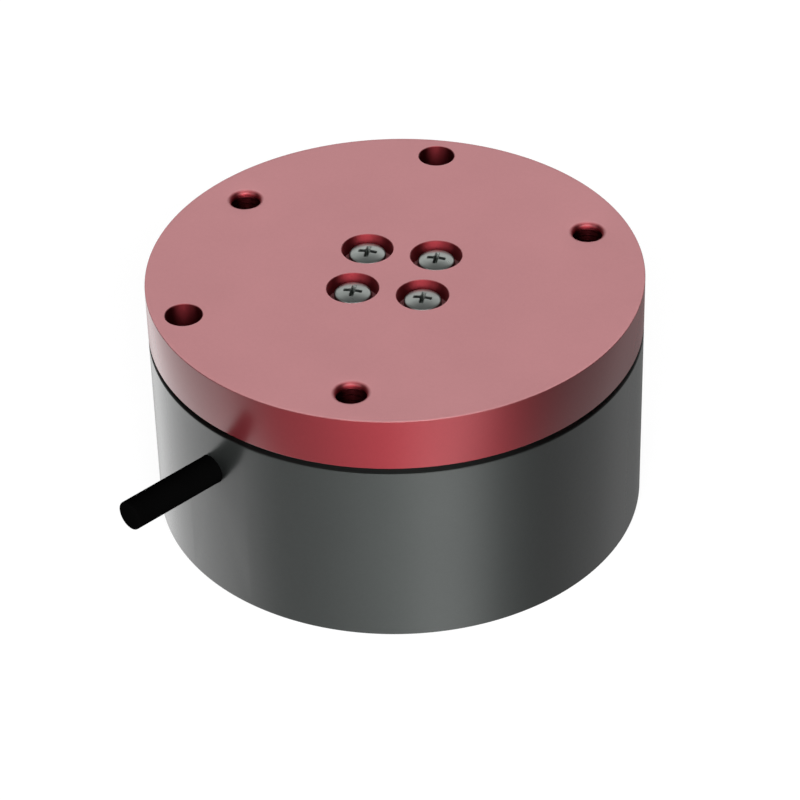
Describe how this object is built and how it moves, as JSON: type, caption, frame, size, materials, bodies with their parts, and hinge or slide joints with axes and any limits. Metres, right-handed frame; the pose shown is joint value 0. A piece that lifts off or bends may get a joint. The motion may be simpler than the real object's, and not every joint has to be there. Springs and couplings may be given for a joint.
{
  "type": "force torque sensor",
  "caption": "Flat round force and torque sensor: a red tool flange over a dark turned housing with a radial cable, tapped and dowel holes on both faces.",
  "frame": {"origin": "centre of the base, on the mounting face of the housing", "axes": "+Z along the sensor's axis from the base to the tool face, +X and +Y along the beams of the sensing element, +Y through the first dowel hole"},
  "size_m": [0.08, 0.0877, 0.042],
  "materials": {
    "red_anodised": "satin red anodised, bead blasted",
    "dark_anodised": "satin grey-black anodised",
    "bare_aluminium": "fine milled",
    "plated_steel": "zinc plated",
    "pin_steel": "ground",
    "black_steel": "black oxide",
    "standoff_brass": "turned",
    "gauge_foil": "foil on film",
    "amber_film": "polyimide film",
    "board_green": "solder-masked glass fibre",
    "chip_black": "moulded",
    "tan_ceramic": "fired",
    "cream_plastic": "moulded",
    "wire_insulation": "extruded, one colour to each conductor",
    "cable_jacket": "smooth extruded",
    "black_rubber": "moulded"
  },
  "bodies": {
    "root": {"tool_flange": "red_anodised", "flange_screws": "plated_steel", "hub_pins": "pin_steel", "dust_seal": "black_rubber", "sensing_element": "bare_aluminium", "strain_gauges": "gauge_foil", "gauge_terminals": "gauge_foil", "flex_leads": "amber_film", "flex_sockets": "cream_plastic", "element_screws": "black_steel", "element_pins": "pin_steel", "housing": "dark_anodised", "bottom_cover": "dark_anodised", "bottom_gasket": "black_rubber", "bottom_cover_screws": "black_steel", "top_cover": "dark_anodised", "top_gasket": "black_rubber", "top_cover_screws": "black_steel", "circuit_board": "board_green", "board_standoffs": "standoff_brass", "board_screws": "plated_steel", "processor_chip": "chip_black", "amplifier_chips": "chip_black", "converter_chips": "chip_black", "chip_capacitors": "tan_ceramic", "clock_crystal": "plated_steel", "cable_header": "cream_plastic", "cable_plug": "cream_plastic", "conductors": "wire_insulation", "cable": "cable_jacket", "cable_grommet": "black_rubber", "cable_clamp": "chip_black", "clamp_screws": "plated_steel"}
  },
  "joints": []
}
